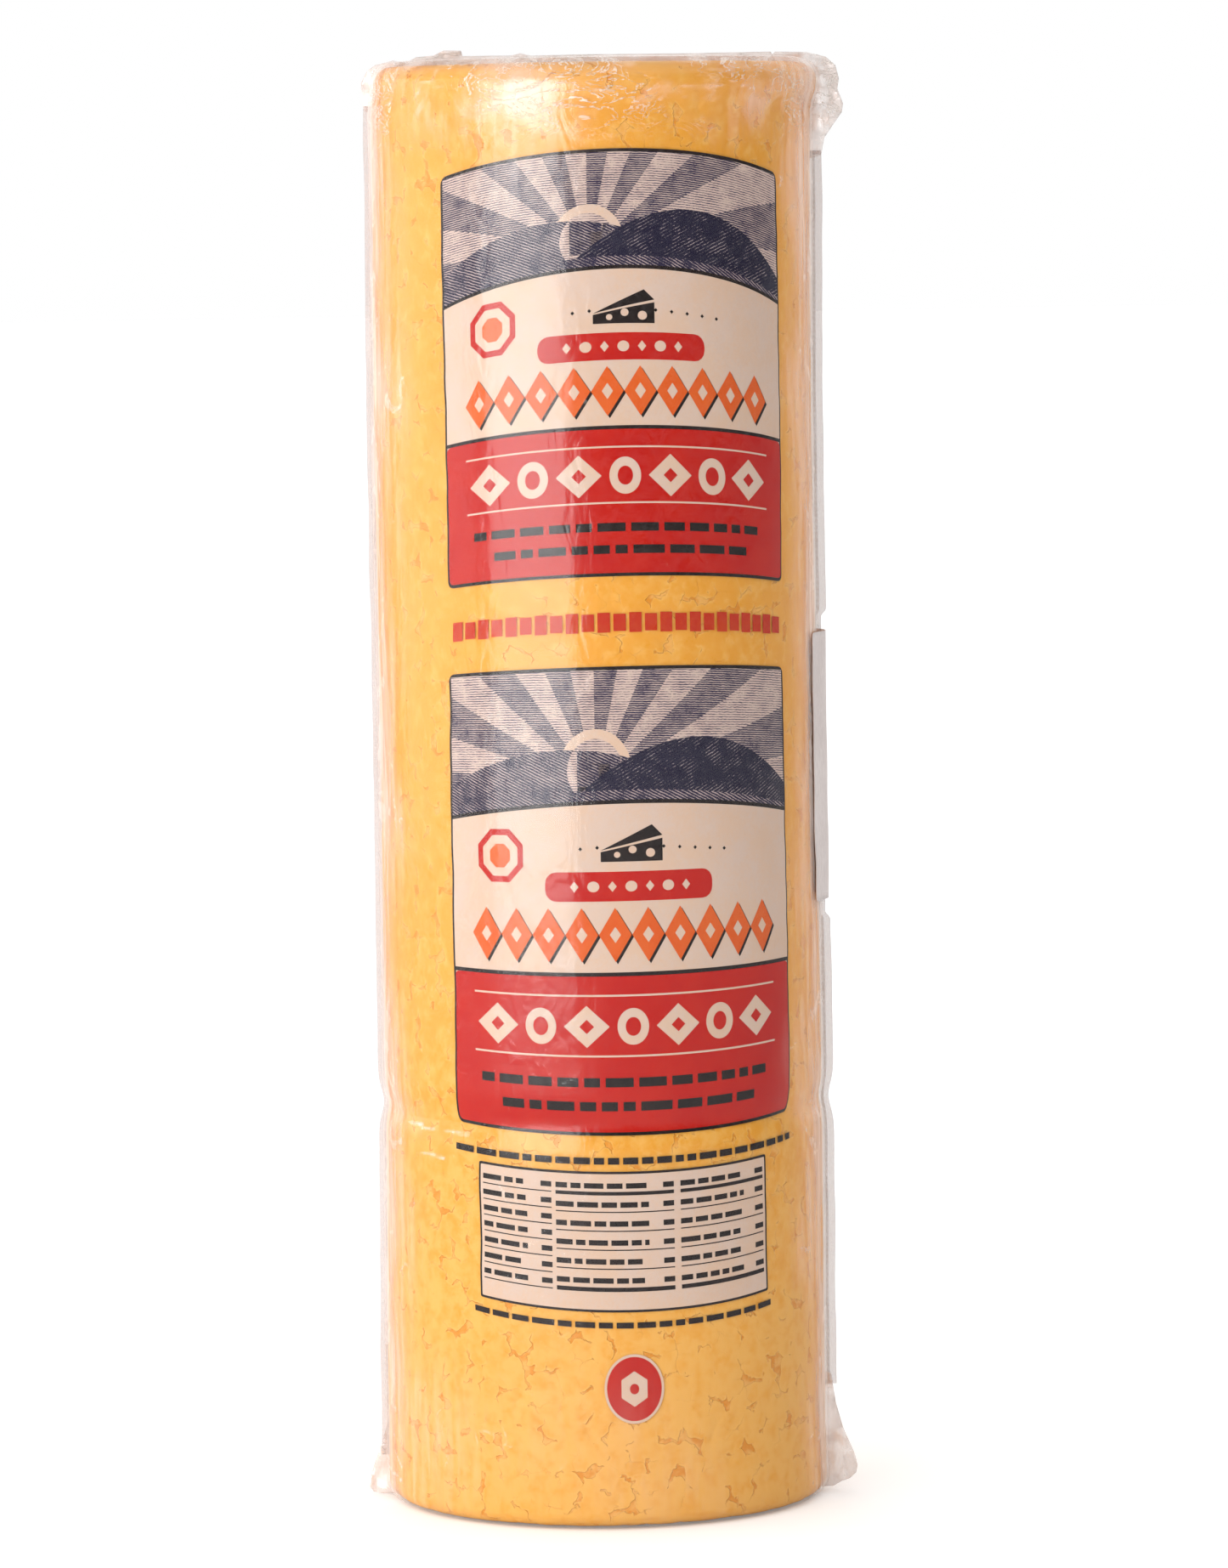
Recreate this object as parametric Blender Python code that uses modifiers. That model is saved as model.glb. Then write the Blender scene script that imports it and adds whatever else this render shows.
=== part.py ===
# Vacuum-packed horn of colby cheese, standing upright.
# Metres, +Z up. The origin is the middle of the flat base, and the printed side faces -Y.
# The clear bag lies tight on the cheese, so bag and cheese are one solid: a round body with
# a sealed edge down each side, a sealed ridge over the top and loose corners of film.

import math
import random

import bmesh
import bpy

MM = 0.001
WELD = 0.01 * MM

# Driving dimensions
CHEESE_DIAMETER = 102 * MM
CHEESE_HEIGHT = 340 * MM
FILM_STANDOFF = 0.7 * MM
RIM_HEIGHT = 8 * MM
WAIST_HEIGHT = 95 * MM

# Body, as the film lies on it
FILM_RADIUS = CHEESE_DIAMETER / 2 + FILM_STANDOFF
TOP_HEIGHT = CHEESE_HEIGHT + 1.2 * MM
BASE_EDGE_RADIUS = 4 * MM
TOP_EDGE_RADIUS = 5 * MM
TOP_CROWN = 0.6 * MM
SIDE_ROWS = 54
EDGE_STEPS = 4
CAP_RINGS = 4
BODY_SEGMENTS = 64
RIM_SWELL = 0.5 * MM
RIM_LEAN = 1.3 * MM
RIM_BLEND = 1.2 * MM
WAIST_DEPTH = 0.9 * MM
WAIST_REACH = 3 * MM
SLUMP = 0.5 * MM
CAP_FADE = 6

# A hand-filled hoop is never quite round. Slow waves, each with its height, how many there
# are round the pack, how fast they twist with height (per metre) and where they start
SLOW_WAVES = (
    (0.22 * MM, 2, 9.0, 0.0),
    (0.14 * MM, 3, -31.0, 1.0),
    (0.10 * MM, 5, 52.0, 2.2),
)

# The film stands off the cheese a little along the two sealed edges
SEAL_ANGLES = (math.pi / 2, -math.pi / 2)
TENT_HEIGHT = 0.9 * MM
TENT_REACH = math.radians(7)

# Dents where the film sinks between the curds
DENT_COUNT = 170
DENT_DEPTH = 0.7 * MM
DENT_REACH = 2.3 * MM
DENT_SEED = 7
DENT_LOW = 8 * MM
DENT_HIGH = CHEESE_HEIGHT - 12 * MM

# Sealed edges and film corners, which stand near the XZ plane. Their depths in Y keep the
# plates' faces off the body's own corner points, so that they join cleanly
SEAL_THICKNESS = 0.8 * MM
SEAL_DEPTH = 0.31 * MM
RIDGE_DEPTH = 0.17 * MM
CORNER_THICKNESS = 2.4 * MM
CORNER_DEPTH = -0.23 * MM
CORNER_ROUND = 0.5 * MM
SEAL_ROOT = FILM_RADIUS - 4 * MM
LEFT_SEAL_REACH = 53.6 * MM
RIGHT_SEAL_REACH = 54.6 * MM
SEAL_PINCH = 1.2 * MM
PINCH_REACH = 4 * MM
SEAL_LOW = 9 * MM
SEAL_HIGH = CHEESE_HEIGHT - 8 * MM
SEAL_STEP = 5 * MM

# Paper label on the right-hand and rear side. Angles run from the front towards +X
LABEL_START = math.radians(77.5)
LABEL_LENGTH = 102 * MM
LABEL_LOW = 142 * MM
LABEL_HIGH = 206 * MM
LABEL_THICKNESS = 0.4 * MM
LABEL_GAP = 0.35 * MM
LABEL_CORNER = 3 * MM
LABEL_STRIPS = 30
LABEL_ROWS = 6
LABEL_RIDGE = 2.1 * MM
LABEL_RIDGE_REACH = math.radians(8)
COVERED_SEAL_REACH = 53.3 * MM
COVER_MARGIN = 2 * MM


def clear_scene():
    for obj in list(bpy.data.objects):
        bpy.data.objects.remove(obj)


def material(name, colour, roughness):
    made = bpy.data.materials.new(name)
    made.use_nodes = True
    shader = made.node_tree.nodes["Principled BSDF"]
    shader.inputs["Base Color"].default_value = (*colour, 1.0)
    shader.inputs["Roughness"].default_value = roughness
    shader.inputs["Metallic"].default_value = 0.0
    return made


def bell(distance, reach):
    return math.exp(-((distance / reach) ** 2))


def angle_between(a, b):
    return abs((a - b + math.pi) % (2 * math.pi) - math.pi)


def slow_unevenness(angle, height):
    out = 0.0
    for size, lobes, twist, start in SLOW_WAVES:
        out += size * math.sin(lobes * angle + twist * height + start)
    return out


def slump(height):
    """The pack is a little wider towards its foot."""
    return SLUMP * (1 - height / CHEESE_HEIGHT)


def swelling(angle, height):
    """How far the side stands out from a plain cylinder, at an angle from the front."""
    out = slow_unevenness(angle, height) + slump(height)
    out -= WAIST_DEPTH * bell(height - WAIST_HEIGHT, WAIST_REACH)
    rim = 1 / (1 + math.exp((CHEESE_HEIGHT - RIM_HEIGHT - height) / RIM_BLEND))
    out += rim * (RIM_SWELL + RIM_LEAN * math.sin(angle))
    for seal in SEAL_ANGLES:
        out += TENT_HEIGHT * bell(angle_between(angle, seal), TENT_REACH)
    return out


def body_profile():
    """Radius and height from the middle of the base up to the middle of the top."""
    flat = FILM_RADIUS - BASE_EDGE_RADIUS
    points = [(flat * ring / CAP_RINGS, 0.0) for ring in range(CAP_RINGS)]
    for step in range(EDGE_STEPS + 1):
        turn = math.pi / 2 * step / EDGE_STEPS
        points.append((flat + BASE_EDGE_RADIUS * math.sin(turn), BASE_EDGE_RADIUS * (1 - math.cos(turn))))
    low = BASE_EDGE_RADIUS
    high = TOP_HEIGHT - TOP_EDGE_RADIUS
    for row in range(1, SIDE_ROWS):
        points.append((FILM_RADIUS, low + (high - low) * row / SIDE_ROWS))
    flat = FILM_RADIUS - TOP_EDGE_RADIUS
    for step in range(EDGE_STEPS + 1):
        turn = math.pi / 2 * step / EDGE_STEPS
        points.append((flat + TOP_EDGE_RADIUS * math.cos(turn), high + TOP_EDGE_RADIUS * math.sin(turn)))
    for ring in range(CAP_RINGS - 1, -1, -1):
        share = ring / CAP_RINGS
        points.append((flat * share, TOP_HEIGHT + TOP_CROWN * (1 - share * share)))
    return points


def dent_places():
    """Seeded places of the dents, as (angle, height)."""
    draw = random.Random(DENT_SEED)
    return [(draw.uniform(-math.pi, math.pi), draw.uniform(DENT_LOW, DENT_HIGH)) for _ in range(DENT_COUNT)]


def dent_depth(angle, height, places):
    deepest = 0.0
    for dent_angle, dent_height in places:
        across = angle_between(angle, dent_angle) * FILM_RADIUS
        deepest = max(deepest, bell(math.hypot(across, height - dent_height), DENT_REACH))
    return DENT_DEPTH * deepest


def build_body():
    """The turned body, then swollen, pinched and dented as the real one is."""
    mesh = bmesh.new()
    points = body_profile()
    chain = [mesh.verts.new((radius, 0.0, height)) for radius, height in points]
    edges = [mesh.edges.new(pair) for pair in zip(chain, chain[1:])]
    bmesh.ops.spin(
        mesh,
        geom=chain + edges,
        cent=(0, 0, 0),
        axis=(0, 0, 1),
        angle=2 * math.pi,
        steps=BODY_SEGMENTS,
        use_merge=True,
    )
    bmesh.ops.remove_doubles(mesh, verts=mesh.verts[:], dist=WELD)
    places = dent_places()
    for vert in mesh.verts:
        radius = math.hypot(vert.co.x, vert.co.y)
        if radius < MM:
            continue
        angle = math.atan2(vert.co.x, -vert.co.y)
        out = swelling(angle, vert.co.z) * (radius / FILM_RADIUS) ** CAP_FADE
        if radius > FILM_RADIUS - WELD:
            out -= dent_depth(angle, vert.co.z, places)
        vert.co.x *= 1 + out / radius
        vert.co.y *= 1 + out / radius
    bmesh.ops.recalc_face_normals(mesh, faces=mesh.faces[:])
    data = bpy.data.meshes.new("wrapped_cheese")
    mesh.to_mesh(data)
    mesh.free()
    data.shade_smooth()
    return bpy.data.objects.new("wrapped_cheese", data)


def outline_plate(name, points, thickness, depth, rounded, collection):
    """A standing plate with this outline, which is drawn in x and z in millimetres."""
    curve = bpy.data.curves.new(name, "CURVE")
    curve.dimensions = "2D"
    curve.fill_mode = "BOTH"
    curve.extrude = thickness / 2 - rounded
    curve.bevel_depth = rounded
    curve.bevel_resolution = 1
    spline = curve.splines.new("POLY")
    spline.points.add(len(points) - 1)
    for point, (x, z) in zip(spline.points, points):
        point.co = (x * MM, z * MM, 0, 1)
    spline.use_cyclic_u = True
    drawn = bpy.data.objects.new(name + "_outline", curve)
    drawn.rotation_euler = (math.pi / 2, 0, 0)
    drawn.location = (0, depth, 0)
    bpy.context.scene.collection.objects.link(drawn)
    bpy.context.view_layer.update()
    evaluated = drawn.evaluated_get(bpy.context.evaluated_depsgraph_get())
    data = bpy.data.meshes.new_from_object(evaluated)
    plate = bpy.data.objects.new(name, data)
    plate.matrix_world = drawn.matrix_world.copy()
    collection.objects.link(plate)
    bpy.data.objects.remove(drawn)
    welded = bmesh.new()
    welded.from_mesh(data)
    bmesh.ops.remove_doubles(welded, verts=welded.verts[:], dist=WELD)
    bmesh.ops.recalc_face_normals(welded, faces=welded.faces[:])
    welded.to_mesh(data)
    welded.free()
    return plate


def under_label(height):
    return LABEL_LOW - COVER_MARGIN <= height <= LABEL_HIGH + COVER_MARGIN


def seal_outline(side):
    """The sealed edge down one side: side is -1 for the left and 1 for the right."""
    reach = LEFT_SEAL_REACH if side < 0 else RIGHT_SEAL_REACH
    rows = round((SEAL_HIGH - SEAL_LOW) / SEAL_STEP)
    outer = []
    for row in range(rows + 1):
        height = SEAL_LOW + (SEAL_HIGH - SEAL_LOW) * row / rows
        edge = COVERED_SEAL_REACH if side > 0 and under_label(height) else reach
        edge += slow_unevenness(side * math.pi / 2, height)
        edge -= SEAL_PINCH * bell(height - WAIST_HEIGHT, PINCH_REACH)
        outer.append((side * edge / MM, height / MM))
    root = side * SEAL_ROOT / MM
    return outer + [(root, SEAL_HIGH / MM), (root, SEAL_LOW / MM)]


# Film corners and the ridge over the top, as seen from the front: x and z in millimetres
LEFT_FOOT = [
    (-47.0, 19.0), (-52.6, 18.0), (-54.0, 13.5), (-55.8, 8.5),
    (-57.2, 4.0), (-57.3, 2.2), (-56.3, 0.8), (-54.5, 0.4), (-47.0, 0.4),
]
RIGHT_FOOT = [
    (47.0, 29.0), (53.4, 28.0), (54.4, 21.0), (56.0, 15.0), (58.6, 9.0), (59.5, 5.6),
    (59.1, 3.8), (57.6, 2.4), (55.6, 1.8), (53.6, 0.5), (47.0, 0.4),
]
LEFT_SHOULDER = [
    (-44.0, 329.0), (-53.0, 330.0), (-53.7, 333.0), (-53.6, 336.5), (-52.2, 339.2), (-50.2, 340.6),
    (-46.0, 341.6), (-44.0, 341.0),
]
RIGHT_SHOULDER = [
    (44.0, 317.0), (54.6, 318.0), (55.4, 322.0), (57.4, 325.0), (59.6, 328.0), (59.9, 330.0),
    (58.6, 333.5), (59.0, 336.0), (58.2, 339.0), (56.0, 341.0), (51.5, 342.2), (44.0, 342.4), (38.0, 341.0),
]
TOP_RIDGE = [
    (-47.0, 336.0), (-45.5, 341.0), (-42.0, 341.5), (-40.5, 342.3), (-36.5, 342.6), (-34.0, 343.8),
    (-30.0, 343.7), (-29.6, 342.4), (-18.0, 342.4), (-16.0, 342.9), (-13.5, 342.3), (0.0, 342.4),
    (20.0, 342.3), (43.0, 342.4), (46.0, 336.0),
]


def fuse_film_edges(body):
    """One union joins the sealed edges, the corners and the ridge to the body."""
    folds = bpy.data.collections.new("film_edges")
    bpy.context.scene.collection.children.link(folds)
    outline_plate("left_seal", seal_outline(-1), SEAL_THICKNESS, SEAL_DEPTH, 0, folds)
    outline_plate("right_seal", seal_outline(1), SEAL_THICKNESS, SEAL_DEPTH, 0, folds)
    outline_plate("left_foot", LEFT_FOOT, CORNER_THICKNESS, CORNER_DEPTH, CORNER_ROUND, folds)
    outline_plate("right_foot", RIGHT_FOOT, CORNER_THICKNESS, CORNER_DEPTH, CORNER_ROUND, folds)
    outline_plate("left_shoulder", LEFT_SHOULDER, SEAL_THICKNESS, CORNER_DEPTH, 0, folds)
    outline_plate("right_shoulder", RIGHT_SHOULDER, CORNER_THICKNESS, CORNER_DEPTH, CORNER_ROUND, folds)
    outline_plate("top_ridge", TOP_RIDGE, SEAL_THICKNESS, RIDGE_DEPTH, 0, folds)
    union = body.modifiers.new("film_edges", "BOOLEAN")
    union.operation = "UNION"
    union.operand_type = "COLLECTION"
    union.collection = folds
    union.solver = "EXACT"
    bpy.context.view_layer.update()
    evaluated = body.evaluated_get(bpy.context.evaluated_depsgraph_get())
    body.data = bpy.data.meshes.new_from_object(evaluated)
    body.modifiers.clear()
    for fold in list(folds.objects):
        bpy.data.objects.remove(fold)
    bpy.data.collections.remove(folds)


def flat_label():
    """The label laid out flat, as its length along X and its height along Y."""
    mesh = bmesh.new()
    bmesh.ops.create_grid(mesh, x_segments=LABEL_STRIPS, y_segments=LABEL_ROWS, size=0.5)
    corners = [vert for vert in mesh.verts if len(vert.link_edges) == 2]
    for vert in mesh.verts:
        vert.co.x = (vert.co.x + 0.5) * LABEL_LENGTH
        vert.co.y = LABEL_LOW + (vert.co.y + 0.5) * (LABEL_HIGH - LABEL_LOW)
    bmesh.ops.bevel(
        mesh,
        geom=corners,
        offset=LABEL_CORNER,
        offset_type="OFFSET",
        segments=3,
        profile=0.5,
        affect="VERTICES",
        material=-1,
    )
    return mesh


def build_label():
    """A paper sticker bent round the pack, over the sealed edge that lies flat beneath it."""
    mesh = flat_label()
    for vert in mesh.verts:
        height = vert.co.y
        angle = LABEL_START + vert.co.x / FILM_RADIUS
        radius = FILM_RADIUS + LABEL_GAP + slow_unevenness(angle, height) + slump(height)
        radius += LABEL_RIDGE * bell(angle_between(angle, math.pi / 2), LABEL_RIDGE_REACH)
        vert.co = (radius * math.sin(angle), -radius * math.cos(angle), height)
    data = bpy.data.meshes.new("side_label")
    mesh.to_mesh(data)
    mesh.free()
    label = bpy.data.objects.new("side_label", data)
    wall = label.modifiers.new("paper", "SOLIDIFY")
    wall.thickness = LABEL_THICKNESS
    wall.offset = outward_offset(data)
    return label


def outward_offset(data):
    """Solidify's offset that grows the paper away from the pack, whichever way its faces point."""
    face = data.polygons[len(data.polygons) // 2]
    outward = face.center.x * face.normal.x + face.center.y * face.normal.y
    return 1.0 if outward > 0 else -1.0


def main():
    clear_scene()
    pack = bpy.data.collections.new("colby_cheese")
    bpy.context.scene.collection.children.link(pack)
    body = build_body()
    pack.objects.link(body)
    fuse_film_edges(body)
    body.data.materials.clear()
    body.data.materials.append(material("wrapped_cheese", (0.93, 0.56, 0.17), 0.25))
    label = build_label()
    label.data.materials.append(material("label_paper", (0.72, 0.70, 0.69), 0.55))
    pack.objects.link(label)


main()
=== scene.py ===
# A tall horn of colby cheese in a tight clear printed bag, standing on its flat end.
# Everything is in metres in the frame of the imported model: the printed side faces -Y.

import random
from math import atan2, ceil, cos, exp, floor, hypot, pi, radians, sin

import bmesh
import bpy
from mathutils import Euler, Matrix, Vector, kdtree
from mathutils.noise import noise, noise_vector


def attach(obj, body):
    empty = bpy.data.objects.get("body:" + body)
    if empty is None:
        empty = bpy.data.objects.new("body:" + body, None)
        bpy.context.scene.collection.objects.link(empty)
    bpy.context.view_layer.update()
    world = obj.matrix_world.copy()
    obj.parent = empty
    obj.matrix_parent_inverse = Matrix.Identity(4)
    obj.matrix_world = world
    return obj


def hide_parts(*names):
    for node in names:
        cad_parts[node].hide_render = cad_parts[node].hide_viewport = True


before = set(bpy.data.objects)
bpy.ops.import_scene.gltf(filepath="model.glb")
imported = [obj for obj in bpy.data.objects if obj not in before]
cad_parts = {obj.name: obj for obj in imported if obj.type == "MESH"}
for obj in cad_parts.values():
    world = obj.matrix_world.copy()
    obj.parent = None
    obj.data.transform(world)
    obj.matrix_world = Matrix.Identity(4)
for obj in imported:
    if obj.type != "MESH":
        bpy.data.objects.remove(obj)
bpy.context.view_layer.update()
bpy.context.scene.view_settings.view_transform = "Standard"
mm = 0.001
quarterTurn = pi / 2
print("frame loaded")

# The pack's own form, the same rules as its solid
pack = {
    "filmRadius": 51.7 * mm,
    "cheeseHeight": 340 * mm,
    "topHeight": 341.2 * mm,
    "baseEdge": 4 * mm,
    "topEdge": 5 * mm,
    "topCrown": 0.6 * mm,
    "rimHeight": 8 * mm,
    "rimSwell": 0.5 * mm,
    "rimLean": 1.3 * mm,
    "rimBlend": 1.2 * mm,
    "waistHeight": 95 * mm,
    "waistDepth": 0.9 * mm,
    "waistReach": 3 * mm,
    "slump": 0.5 * mm,
    "tentHeight": 0.9 * mm,
    "tentReach": radians(7),
    # height, lobes round the pack, twist per metre of height, start
    "slowWaves": ((0.22 * mm, 2, 9.0, 0.0), (0.14 * mm, 3, -31.0, 1.0), (0.10 * mm, 5, 52.0, 2.2)),
}


def bell(distance, reach):
    return exp(-((distance / reach) ** 2))


def easeBetween(low, high, value):
    share = min(1.0, max(0.0, (value - low) / (high - low)))
    return share * share * (3 - 2 * share)


def angleBetween(a, b):
    return abs((a - b + pi) % (2 * pi) - pi)


def angleOf(point):
    # from the front towards +X
    return atan2(point.x, -point.y)


def unevenness(angle, height):
    out = pack["slump"] * (1 - height / pack["cheeseHeight"])
    for size, lobes, twist, start in pack["slowWaves"]:
        out += size * sin(lobes * angle + twist * height + start)
    return out


def bodySwell(angle, height):
    # how far cheese and film both stand out from a plain cylinder
    out = unevenness(angle, height)
    out -= pack["waistDepth"] * bell(height - pack["waistHeight"], pack["waistReach"])
    rim = 1 / (1 + exp((pack["cheeseHeight"] - pack["rimHeight"] - height) / pack["rimBlend"]))
    return out + rim * (pack["rimSwell"] + pack["rimLean"] * sin(angle))


def fromSeam(angle):
    return min(angleBetween(angle, quarterTurn), angleBetween(angle, -quarterTurn))


def seamTent(angle):
    return pack["tentHeight"] * bell(fromSeam(angle), pack["tentReach"])


def roundPoint(angle, radius, height):
    return Vector((radius * sin(angle), -radius * cos(angle), height))


# Mesh helpers

def canProfile(radius, bottom, top, lowEdge, highEdge, crown, step):
    # radius and height from the middle of the base round to the middle of the top
    arcSteps = 6
    points = []
    rings = round((radius - lowEdge) / step)
    for ring in range(rings):
        points.append(((radius - lowEdge) * ring / rings, bottom))
    for turn in range(arcSteps + 1):
        bend = quarterTurn * turn / arcSteps
        points.append((radius - lowEdge + lowEdge * sin(bend), bottom + lowEdge * (1 - cos(bend))))
    rows = round((top - highEdge - bottom - lowEdge) / step)
    for row in range(1, rows):
        points.append((radius, bottom + lowEdge + (top - highEdge - bottom - lowEdge) * row / rows))
    for turn in range(arcSteps + 1):
        bend = quarterTurn * turn / arcSteps
        out = radius - highEdge + highEdge * cos(bend)
        points.append((out, top - highEdge + highEdge * sin(bend)))
    for ring in range(rings - 1, -1, -1):
        share = ring / rings
        points.append(((radius - highEdge) * share, top + crown * (1 - share * share)))
    return points


def spinCan(profile, steps):
    bm = bmesh.new()
    chain = [bm.verts.new((radius, 0, height)) for radius, height in profile]
    edges = [bm.edges.new(pair) for pair in zip(chain, chain[1:])]
    bmesh.ops.spin(bm, geom=chain + edges, cent=(0, 0, 0), axis=(0, 0, 1), angle=2 * pi, steps=steps,
                   use_merge=True)
    bmesh.ops.remove_doubles(bm, verts=bm.verts[:], dist=0.01 * mm)
    bmesh.ops.recalc_face_normals(bm, faces=bm.faces[:])
    sortParts(bm)
    return bm


def sortParts(bm):
    # spin leaves edges and faces in an order that changes from run to run
    bm.verts.index_update()
    for parts in (bm.edges, bm.faces):
        parts.sort(key=lambda part: sum(v.index * v.index + 0.5 / (v.index + 1) for v in part.verts))


def refineWhere(bm, closeness, reaches):
    # closeness is above -reach where finer faces are wanted, one round for each reach
    for reach in reaches:
        faces = [face for face in bm.faces if closeness(face.calc_center_median()) > -reach]
        edges = list(dict.fromkeys(edge for face in faces for edge in face.edges))
        bmesh.ops.subdivide_edges(bm, edges=edges, cuts=1, use_grid_fill=True)
        sortParts(bm)


def faceOutwards(bm):
    # for open sheets that are wrapped round the pack
    for face in bm.faces:
        face.normal_update()
        middle = face.calc_center_median()
        if face.normal.dot(Vector((middle.x, middle.y, 0))) < 0:
            face.normal_flip()


def finishPiece(bm, name, materials, smooth=True):
    mesh = bpy.data.meshes.new(name)
    bm.to_mesh(mesh)
    bm.free()
    if smooth:
        mesh.shade_smooth()
    for material in materials:
        mesh.materials.append(material)
    piece = bpy.data.objects.new(name, mesh)
    bpy.context.scene.collection.objects.link(piece)
    return piece


def storeValues(piece, name, values):
    layer = piece.data.attributes.new(name, "FLOAT", "POINT")
    layer.data.foreach_set("value", values)


def thicken(piece, thickness, offset=0):
    wall = piece.modifiers.new("wall", "SOLIDIFY")
    wall.thickness = thickness
    wall.offset = offset


def wrapped(piece, node="wrapped_cheese"):
    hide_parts(node)
    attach(piece, "root")


# Node helpers

def tint(red, green, blue):
    # a colour as a screen shows it, from 0 to 255, as the linear colour that shaders use
    shares = [channel / 255 for channel in (red, green, blue)]
    linear = [share / 12.92 if share <= 0.04 else ((share + 0.055) / 1.055) ** 2.4 for share in shares]
    return (*linear, 1.0)


def addNode(beside, kind, **settings):
    # beside is a tree, or any node or socket in it: the id_data of each is the tree
    made = beside.id_data.nodes.new("ShaderNode" + kind)
    for name, value in settings.items():
        if name in made.inputs:
            made.inputs[name].default_value = value
        else:
            setattr(made, name, value)
    return made


def feed(value, socket):
    # joins another node's socket, or sets a plain value
    if isinstance(value, bpy.types.NodeSocket):
        socket.id_data.links.new(value, socket)
    else:
        socket.default_value = value


def feedAll(node, values):
    for name, value in values.items():
        feed(value, node.inputs[name])


def maths(operation, first, second=0.0):
    joined = first if isinstance(first, bpy.types.NodeSocket) else second
    made = addNode(joined, "Math", operation=operation)
    feed(first, made.inputs[0])
    feed(second, made.inputs[1])
    return made.outputs[0]


def plus(first, second):
    return maths("ADD", first, second)


def minus(first, second):
    return maths("SUBTRACT", first, second)


def times(first, second):
    return maths("MULTIPLY", first, second)


def splitPlace(place):
    made = addNode(place, "SeparateXYZ")
    feed(place, made.inputs[0])
    return made.outputs


def spread(value, low, high, toLow=0.0, toHigh=1.0):
    made = addNode(value, "MapRange", interpolation_type="SMOOTHSTEP")
    for place, number in enumerate((value, low, high, toLow, toHigh)):
        feed(number, made.inputs[place])
    return made.outputs[0]


def mixColour(factor, first, second):
    made = addNode(factor, "Mix", data_type="RGBA")
    for place, value in ((0, factor), (6, first), (7, second)):
        feed(value, made.inputs[place])
    return made.outputs[2]


def noiseAt(place, scale, detail=3.0, distortion=0.0, roughness=0.5):
    made = addNode(place, "TexNoise", Scale=scale, Detail=detail, Distortion=distortion,
                   Roughness=roughness)
    feed(place, made.inputs["Vector"])
    return made.outputs[0]


def stretched(place, scale):
    made = addNode(place, "Mapping", Scale=scale)
    feed(place, made.inputs["Vector"])
    return made.outputs[0]


def bumpFrom(height, distance, strength=1.0):
    made = addNode(height, "Bump", Strength=strength, Distance=distance)
    feed(height, made.inputs["Height"])
    return made.outputs[0]


def newMaterial(name):
    material = bpy.data.materials.new(name)
    material.use_nodes = True
    shader = material.node_tree.nodes["Principled BSDF"]
    return material, shader, addNode(shader, "TexCoord").outputs["Object"]


def newGroup(name, places, numbers, results):
    group = bpy.data.node_groups.new(name, "ShaderNodeTree")
    sockets = [(label, "INPUT", "NodeSocketVector") for label in places]
    sockets += [(label, "INPUT", "NodeSocketFloat") for label in numbers]
    sockets += [(label, "OUTPUT", "NodeSocketFloat") for label in results]
    for label, way, kind in sockets:
        group.interface.new_socket(name=label, in_out=way, socket_type=kind)
    return group, group.nodes.new("NodeGroupInput").outputs, group.nodes.new("NodeGroupOutput")


def useGroup(group, **values):
    made = addNode(values["Place"], "Group")
    made.node_tree = group
    feedAll(made, values)
    return made


# Shared effects; the scales of noises are in waves per metre

hazeLook = {
    "streakScale": 340.0,
    "patchScale": 120.0,
    "fineScale": 620.0,
    "tornScale": 88.0,
    "tornMaskScale": 46.0,
    "cloudScale": 62.0,
    "creaseScale": 210.0,
    "gatheredFrom": 0.319,  # heights between which the gathers under the rim start
    "gatheredTo": 0.333,
}


def buildFilmHaze():
    # where the film isn't wet against what it wraps it looks milky, in patches with crisp edges
    group, given, out = newGroup("filmHaze", ["Place"], ["Slack"], ["Haze", "Height", "Torn"])
    place = given["Place"]
    slack = given["Slack"]
    upright = stretched(place, (1.0, 1.0, 0.13))
    streaks = noiseAt(upright, hazeLook["streakScale"], detail=2.0, distortion=0.5)
    patches = noiseAt(place, hazeLook["patchScale"], detail=4.0, distortion=1.0, roughness=0.6)
    fine = noiseAt(place, hazeLook["fineScale"], detail=2.0)
    veil = times(slack, spread(streaks, 0.2, 0.8, 0.5, 1.35))
    crisp = spread(plus(patches, times(slack, 0.24)), 0.70, 0.79)
    crisp = times(crisp, spread(fine, 0.25, 0.8, 0.12, 0.42))
    # torn pale lines and clouds where the film is gathered under the rim
    upper = spread(splitPlace(place)["Z"], hazeLook["gatheredFrom"], hazeLook["gatheredTo"])
    level = stretched(place, (1.0, 1.0, 2.1))
    torn = noiseAt(level, hazeLook["tornScale"], detail=4.0, distortion=1.8, roughness=0.62)
    line = spread(maths("ABSOLUTE", minus(torn, 0.5)), 0.026, 0.006)
    mask = noiseAt(place, hazeLook["tornMaskScale"], detail=1.0)
    line = times(line, spread(mask, 0.44, 0.56))
    cloud = noiseAt(place, hazeLook["cloudScale"], detail=3.0, distortion=0.9)
    cloud = spread(cloud, 0.46, 0.66, 0.0, 0.32)
    gathered = times(upper, maths("MAXIMUM", times(line, 0.8), cloud))
    haze = maths("MINIMUM", plus(plus(veil, crisp), gathered), 1.0)
    folds = stretched(place, (1.0, 1.0, 0.45))
    folds = noiseAt(folds, hazeLook["creaseScale"], detail=3.0, distortion=0.8)
    height = plus(folds, times(fine, 0.12))
    height = plus(height, times(gathered, 0.5))
    feedAll(out, {"Haze": haze, "Torn": times(upper, line), "Height": height})
    return group


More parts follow.
